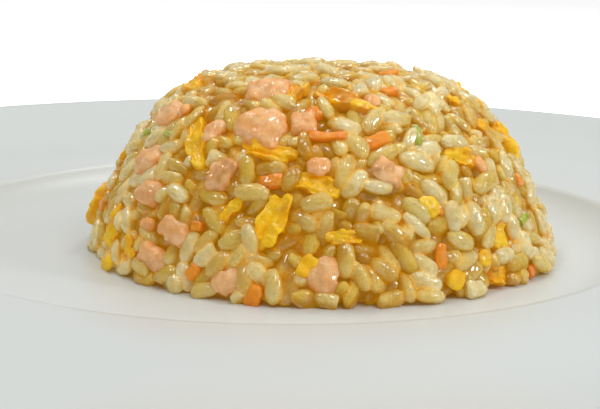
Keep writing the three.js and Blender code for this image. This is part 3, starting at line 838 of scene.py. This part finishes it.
GOLDEN_TURN = 137.507764             # degrees from each place to the next, so that they spread evenly
BALL_RADII = np.array((1.1, 1.45, 1.1))
BALL_OFFSETS = np.array((-1.0, 0.0, 1.0))
BALL_INSET = 1.3                     # of the end balls' middles from a grain's ends
BALL_REACH = 1.15                    # of a grain from its balls' middles, over their radii
OUTER_DEPTHS = (0.8, 3.0)            # at which grains of the outermost layer start, and the others
INNER_DEPTHS = (3.0, SHELL)
OUTER_PROUD = (-1.0, 0.9)            # how far grains of that layer may stand out, and the others
INNER_PROUD = (-2.8, -1.0)
PACK_STEPS = 150
PAIR_STEPS = 5                       # steps between searches for balls that are near each other
PAIR_REACH = 2 * BALL_RADII[1] * 1.12 + 0.7
FLOOR_GAP = 0.15                     # from the grains to the plate
CORE_GAP = 0.8                       # from the grains' layers to the core that pushes them out
PUSH = 1.5                           # how far a grain moves for the mean push on it
TURN = 0.9                           # how far a grain turns for it
DRIFT = 0.10                         # how far a grain left inside moves out at the first step
MOST_OVERLAP = 1.1
DEEPEST = 1.5                        # under the layers, where grains are given up
LIE_FLAT = 0.02                      # how much of its lean a grain loses at each step
GAP_DEPTHS = (3.8, 2.3)              # at which bare spots are looked for
GAP_ROOM = 0.55                      # least distance of a bare spot from any ball
GAP_SPACING = 2.2                    # least distance between bare spots
GAP_RISE = 1.8                       # least height of a bare spot over the well's floor


def flattened(vectors, ways, share):
    """Vectors without some share of what points out of the dome, made 1 long."""
    vectors = vectors - share * (vectors * ways).sum(1)[:, None] * ways
    return vectors / np.linalg.norm(vectors, axis=1)[:, None]


def grain_levers(scales):
    """How far the balls of each grain lie from its middle, along its axis."""
    half = (GRAIN_LENGTH / 2 - BALL_INSET) * scales
    return half[:, None] * BALL_OFFSETS


def grain_balls(centres, axes, levers):
    """Middles of the balls that stand for the grains, three in a row for each."""
    return (centres[:, None, :] + levers[:, :, None] * axes[:, None, :]).reshape(-1, 3)


def first_places(count):
    """Middles, axes and scales of scattered grains, and how far each may stand out of the dome."""
    shares = (np.arange(count) + 0.5) / count
    azimuths = (np.arange(count) * GOLDEN_TURN) % 360 - 180
    latitudes = latitudes_at(np.clip(shares + chance.normal(0, 0.01, count), 0.002, 0.999))
    centres = surface_points(azimuths, latitudes)
    _, ways = outside(centres)
    outer = chance.random(count) < OUTER_SHARE
    depths = np.where(outer, chance.uniform(*OUTER_DEPTHS, count), chance.uniform(*INNER_DEPTHS, count))
    centres -= ways * depths[:, None]
    axes = flattened(chance.normal(size=(count, 3)), ways, 0.75)
    scales = chance.normal(0.97, 0.07, count).clip(0.8, 1.1)
    proud = np.where(outer, chance.uniform(*OUTER_PROUD, count), chance.uniform(*INNER_PROUD, count))
    return centres, axes, scales, proud


def push_apart(places, radii, pairs, both):
    """How far balls that touch push each ball, how many it touches, and how far pairs overlap.
    Where both of a pair can move, each takes half."""
    first, second = pairs.T
    gap = places[first] - places[second]
    distance = np.linalg.norm(gap, axis=1) + 1e-9
    overlap = np.maximum(radii[first] + radii[second] - distance, 0)
    push = gap / distance[:, None] * (overlap * np.where(both, 0.5, 1.0))[:, None]
    pushes = np.zeros_like(places)
    touches = np.zeros(len(places))
    np.add.at(pushes, first, push)
    np.add.at(pushes, second, -push)
    np.add.at(touches, first, overlap > 0)
    np.add.at(touches, second, overlap > 0)
    return pushes, touches, overlap


def pack_grains(balls):
    """Middles, axes and scales of grains pressed against the dome's surface and clear of the
    other pieces' balls. Each grain is three balls in a row, and touching balls push apart."""
    count = GRAIN_COUNT
    centres, axes, scales, proud = first_places(count)
    levers = grain_levers(scales)
    turning = 2 * levers[:, 2] ** 2
    radii = (scales[:, None] * BALL_RADII).ravel()
    still = np.array(balls)
    all_radii = np.concatenate((radii, still[:, 3]))
    owner = np.concatenate((np.repeat(np.arange(count), 3), np.full(len(still), -1)))
    for step in range(PACK_STEPS):
        spots = grain_balls(centres, axes, levers)
        every = np.vstack((spots, still[:, :3]))
        if step % PAIR_STEPS == 0:
            pairs = close_pairs(every, PAIR_REACH)
            one, other = owner[pairs].T
            pairs = pairs[(one != other) & ((one >= 0) | (other >= 0))]
            both = (owner[pairs] >= 0).all(1)
        pushes, touches, overlap = push_apart(every, all_radii, pairs, both)
        pushes, touches = pushes[: 3 * count], touches[: 3 * count]

        # The bowl's wall, the plate's floor and the core push too. What is left inside drifts out.
        beyond, way = outside(spots)
        furthest = beyond + radii * BALL_REACH
        wall = np.maximum(furthest - np.repeat(proud, 3), 0)
        inside = np.maximum(-beyond - SHELL - CORE_GAP, 0)
        below = np.maximum(FLOOR_TOP + FLOOR_GAP + radii * BALL_REACH - spots[:, 2], 0)
        pushes += way * (inside - wall)[:, None]
        pushes[:, 2] += below
        touches += (wall > 0) * 1.0 + (inside > 0) + (below > 0)
        per_grain = pushes.reshape(count, 3, 3)
        contacts = np.maximum(touches.reshape(count, 3).sum(1), 1)
        drift = DRIFT * (1 - step / PACK_STEPS) ** 0.5
        outermost = furthest.reshape(count, 3).max(1) - proud
        middle_way = way.reshape(count, 3, 3)[:, 1]
        centres += PUSH * per_grain.sum(1) / contacts[:, None]
        centres += drift * middle_way * (outermost < -0.1)[:, None]
        axes += TURN * (levers[:, :, None] * per_grain).sum(1) / turning[:, None]
        axes = flattened(axes, middle_way, LIE_FLAT)
    worst = np.zeros(len(every))
    np.maximum.at(worst, pairs[:, 0], overlap)
    np.maximum.at(worst, pairs[:, 1], overlap)
    tight = worst[: 3 * count].reshape(count, 3).max(1)
    near = outside(centres)[0] > -SHELL - DEEPEST
    keep = (tight < MOST_OVERLAP) & near
    return centres[keep], axes[keep], scales[keep]


def bare_spots(balls, deep):
    """Places some way inside the dome's surface that no ball is near."""
    count = 6000
    shares = (np.arange(count) + 0.5) / count
    places = surface_points((np.arange(count) * GOLDEN_TURN) % 360, latitudes_at(shares * 0.985 + 0.012))
    _, ways = outside(places)
    places -= ways * deep
    spots = []
    for place in places:
        gap = np.linalg.norm(balls[:, :3] - place, axis=1) - balls[:, 3]
        if gap.min() > GAP_ROOM and all(np.linalg.norm(place - spot) > GAP_SPACING for spot in spots):
            spots.append(place)
    return np.array(spots)


def filled_gaps(centres, axes, scales, balls, deep):
    """The grains again, with more pressed into the places that were left bare."""
    spots = grain_balls(centres, axes, grain_levers(scales))
    radii = (scales[:, None] * BALL_RADII).ravel()
    more = bare_spots(np.vstack((np.column_stack((spots, radii)), balls)), deep)
    more = more[more[:, 2] > FLOOR_TOP + GAP_RISE]
    _, ways = outside(more)
    along = flattened(chance.normal(size=more.shape), ways, 0.9)
    sizes = chance.uniform(0.8, 1.0, len(more))
    return np.vstack((centres, more)), np.vstack((axes, along)), np.append(scales, sizes)


def grain_shape(number):
    """One of several cooked grains, its length along X and its flatter side along Z. Each end narrows
    in its own way, so the outline is a blunt, uneven hexagon."""
    bm = bmesh.new()
    bmesh.ops.create_uvsphere(bm, u_segments=GRAIN_SIDES, v_segments=GRAIN_RINGS, radius=1)
    bmesh.ops.rotate(bm, cent=(0, 0, 0), matrix=Matrix.Rotation(math.pi / 2, 3, "Y"), verts=bm.verts)
    ends = chance.uniform((0.90, 0.66, 0.32), (1.05, 0.88, 0.58), (2, 3))
    tips = chance.uniform(-0.45, 0.45, 2)
    bend = chance.uniform(-0.15, 0.35)
    power = 2 / chance.uniform(*GRAIN_SQUARENESS)
    snapped = chance.uniform(0.1, 0.35) if number < BROKEN_SHAPES else 1
    for vert in bm.verts:
        x, y, z = vert.co
        if x > snapped:
            x = snapped + BLUNTNESS * (x - snapped)
        around = math.atan2(z, y)
        end = int(x > 0)
        girth = np.interp(abs(x), (0, 0.38, 0.71, 0.92, 1), (1, *ends[end], 0))
        wide = math.copysign(abs(math.cos(around)) ** power, y) * girth * GRAIN_WIDTH / 2
        thick = math.copysign(abs(math.sin(around)) ** power, z) * girth * GRAIN_THICKNESS / 2
        vert.co = (x * GRAIN_LENGTH / 2, wide + bend * (x * x - 0.4) + tips[end] * abs(x) ** 3, thick)
    rough(bm, 0.28, 0.4, number + 11, 2)
    return made_mesh(f"grain_{number}", bm)


# Kinds of grain, the outermost first: their share, and their colours where they are clean, at their
# edges and where sauce and painted shade darken them most, and their roughness wet and dry.
RICE_KINDS = {
    "pale": (0.32, (0.71, 0.60, 0.31, 1), (0.62, 0.44, 0.11, 1), (0.42, 0.18, 0.004, 1), 0.12, 0.4),
    "golden": (0.34, (0.65, 0.50, 0.16, 1), (0.58, 0.375, 0.045, 1), (0.39, 0.155, 0.003, 1), 0.12, 0.4),
    "clear": (0.34, (0.58, 0.42, 0.085, 1), (0.52, 0.29, 0.018, 1), (0.33, 0.115, 0.002, 1), 0.1, 0.35),
}
MIXED = 1.1                          # how loosely a grain's kind follows its depth, in millimetres
ROLL = 28                            # how far a grain rolls off its flatter side, in degrees

# Zones with more sauce, or less: azimuth, latitude, reach and how far tones shift.
SAUCY = ((-98, 42, 29, 0.75), (-112, 12, 16, 0.4), (-150, 25, 16, -0.15), (-30, 25, 30, -0.5))


def grain_kinds(centres):
    """The number of each grain's kind. The outermost grains are the palest."""
    count = len(centres)
    order = np.argsort(-outside(centres)[0] + chance.normal(0, MIXED, count))
    shares = np.cumsum([share for share, *_ in RICE_KINDS.values()])
    kinds = np.empty(count, int)
    kinds[order] = np.searchsorted(shares[:-1], (np.arange(count) + 0.5) / count)
    return kinds


def grain_tones(centres):
    """A tone for each grain, from 0, clean, to 1, steeped in sauce, shifted in the saucy zones."""
    tones = chance.random(len(centres))
    for azimuth, latitude, reach, amount in SAUCY:
        spot = surface_points(np.array((azimuth,)), np.array((latitude,)))
        away = np.linalg.norm(centres - spot, axis=1)
        tones += amount * np.exp(-(away / reach) ** 2)
    return tones


def grain_matrix(centre, axis, way, scale, roll):
    """Lays a grain along its axis with its flatter side out of the dome, then rolls it."""
    along = Vector(axis)
    across = Vector(way).cross(along)
    across = across.normalized() if across.length > 1e-3 else along.orthogonal().normalized()
    turned = Matrix((along, across, along.cross(across))).transposed().to_4x4()
    placed = Matrix.Translation(Vector(centre)) @ turned
    placed @= Matrix.Rotation(math.radians(roll), 4, "X") @ Matrix.Diagonal((scale, scale, scale, 1))
    return placed


def make_rice(balls, guards):
    """Loose grains of each kind, joined."""
    grains = pack_grains(balls + guards)
    for deep in GAP_DEPTHS:
        grains = filled_gaps(*grains, balls, deep)
    centres, axes, scales = grains
    count = len(centres)
    _, ways = outside(centres)
    shapes = [grain_shape(number) for number in range(GRAIN_SHAPES)]
    kinds = grain_kinds(centres)
    tones = grain_tones(centres)
    rolls = chance.normal(0, ROLL, count)
    picks = chance.integers(0, GRAIN_SHAPES, count)
    axes = axes * chance.choice((-1, 1), count)[:, None]
    for number, (kind, (_, *finish)) in enumerate(RICE_KINDS.items()):
        bm = bmesh.new()
        chosen = np.flatnonzero(kinds == number)
        for i in chosen:
            placed = grain_matrix(centres[i], axes[i], ways[i], scales[i], rolls[i])
            shape = shapes[picks[i]]
            shape.transform(placed)
            bm.from_mesh(shape)
            shape.transform(placed.inverted())
        mark(bm, "tone", np.repeat(tones[chosen], [len(shapes[pick].vertices) for pick in picks[chosen]]))
        mark_place(bm)
        material = rice_material(f"rice_{kind}", *finish)
        finished(f"rice_{kind}", bm, material, nodes=("rice_heap",))


def make_core():
    """The bare core that shows between the grains."""
    radius, height = outline(np.append(np.linspace(0, 88, 24), 90))
    radius, height = radius * (1 - CORE_DEPTH / DOME_RADIUS), height * (1 - CORE_DEPTH / DOME_HEIGHT)
    bm = spun([(0, 0), *zip(radius, height)], DOME_FOOT, 72)
    bmesh.ops.recalc_face_normals(bm, faces=bm.faces)
    rough(bm, 0.7, 0.35, 3, 3)
    finished("rice_core", bm, core_material(), nodes=("rice_heap",))


# ---------------------------------------- stage, camera and lights

CAMERA_TARGET = Vector((DOME_FOOT[0] - 4.84, 0, FLOOR_TOP + 8.93))
CAMERA_DISTANCE = 276
CAMERA_ELEVATION = math.radians(12)
CAMERA_ROLL = math.radians(0.86)
CAMERA_LENS = 72
FLOOR_REACH = 6                      # of the backdrop's floor each way, in metres
FLOOR_GLOW = 0.72                    # keeps it white
ROOM_LIGHT = 0.18

# Lights aim at the dome. Places and sizes are in metres, powers in watts.
LIGHT_SHARE = 0.93                   # of every power below
LAMP_SIZE = (0.12, 0.26)
LAMPS = (                            # place, power
    ((0.25, -0.6, 0.8), 0.95), ((0.55, -0.4, 0.85), 1.45), ((0.0, -0.35, 1.0), 0.85),
    ((-0.45, -0.35, 0.85), 1.2), ((0.35, 0.45, 0.9), 1.5), ((-0.3, 0.4, 0.9), 1.5),
    ((0.85, -0.3, 0.5), 2.3),
)


def make_floor():
    bm = bmesh.new()
    bmesh.ops.create_grid(bm, x_segments=1, y_segments=1, size=FLOOR_REACH)
    mesh = made_mesh("floor", bm)
    floor = new_object("floor", mesh)
    material, _, shader = new_material("floor")
    set_values(shader, Base_Color=(0.95, 0.95, 0.95, 1), Roughness=0.8,
               Emission_Color=(1, 1, 1, 1), Emission_Strength=FLOOR_GLOW)
    mesh.materials.append(material)


def make_camera():
    back = Vector((0, -math.cos(CAMERA_ELEVATION), math.sin(CAMERA_ELEVATION)))
    right = Vector((1, 0, 0))
    up = back.cross(right)
    turned = Matrix((right, up, back)).transposed() @ Matrix.Rotation(CAMERA_ROLL, 3, "Z")
    data = bpy.data.cameras.new("camera")
    data.lens = CAMERA_LENS
    data.sensor_width = 36
    data.clip_start = 0.01
    camera = new_object("camera", data)
    camera.matrix_world = Matrix.Translation((CAMERA_TARGET + CAMERA_DISTANCE * back) * MM) @ turned.to_4x4()
    bpy.context.scene.camera = camera


def softbox(name, place, aim, size, power):
    data = bpy.data.lights.new(name, "AREA")
    data.shape = "RECTANGLE"
    data.size, data.size_y = size
    data.energy = LIGHT_SHARE * power
    light = new_object(name, data)
    light.location = place
    light.rotation_euler = (Vector(aim) - Vector(place)).to_track_quat("-Z", "Y").to_euler()
    return light


def make_lights():
    for number, (place, power) in enumerate(LAMPS):
        softbox(f"lamp_{number + 1}", place, (0, 0, 0.03), LAMP_SIZE, power)
    softbox("overhead panel", (0, 0.35, 1.2), (0, 0, 0), (1.0, 0.7), 2.8)
    back_panel = softbox("back panel", (0, 1.1, 0.4), (0, 0, 0.03), (2.2, 0.8), 2.0)
    back_panel.visible_camera = False
    world = bpy.data.worlds.new("room")
    world.use_nodes = True
    set_values(world.node_tree.nodes["Background"], Color=(1, 1, 1, 1), Strength=ROOM_LIGHT)
    bpy.context.scene.world = world
    bpy.context.scene.view_settings.view_transform = "Standard"


# ---------------------------------------- build

SALMON = salmon_material()
EGG = egg_material()
CARROT = carrot_material()
ONION = onion_material()

make_plate()
salmon_balls, salmon_guards = make_toppings(
    "salmon", SALMON, salmon_chunk, BROWNED_SALMON, SALMON_GUARD, 1.25, 0.5)
egg_balls, egg_guards = make_toppings("egg", EGG, egg_sheet, BROWNED_EGG, EGG_GUARD, 0.9, 0.3)
small = make_small("salmon_crumbs", SALMON, SALMON_CRUMBS, back_seats(5, 4.2, 0.1), crumb, 0.7, 0.4, 10)
small += make_small("egg_crumbs", EGG, EGG_CRUMBS, back_seats(8, 4.2, 0.3), crumb, 0.5, 0.3, 10)
small += make_small("carrot", CARROT, CARROT_PIECES, back_seats(13, 4.2, 0.5), die, 0.85, 0.8, 12)
small += make_small("spring_onion", ONION, ONION_PIECES, back_seats(6, 3.6, 0.7), leaf_bit, 0.3, -0.2, 12)
make_rice(salmon_balls + egg_balls + small, salmon_guards + egg_guards + in_front(small, SMALL_GUARD))
make_core()
make_floor()
make_camera()
make_lights()
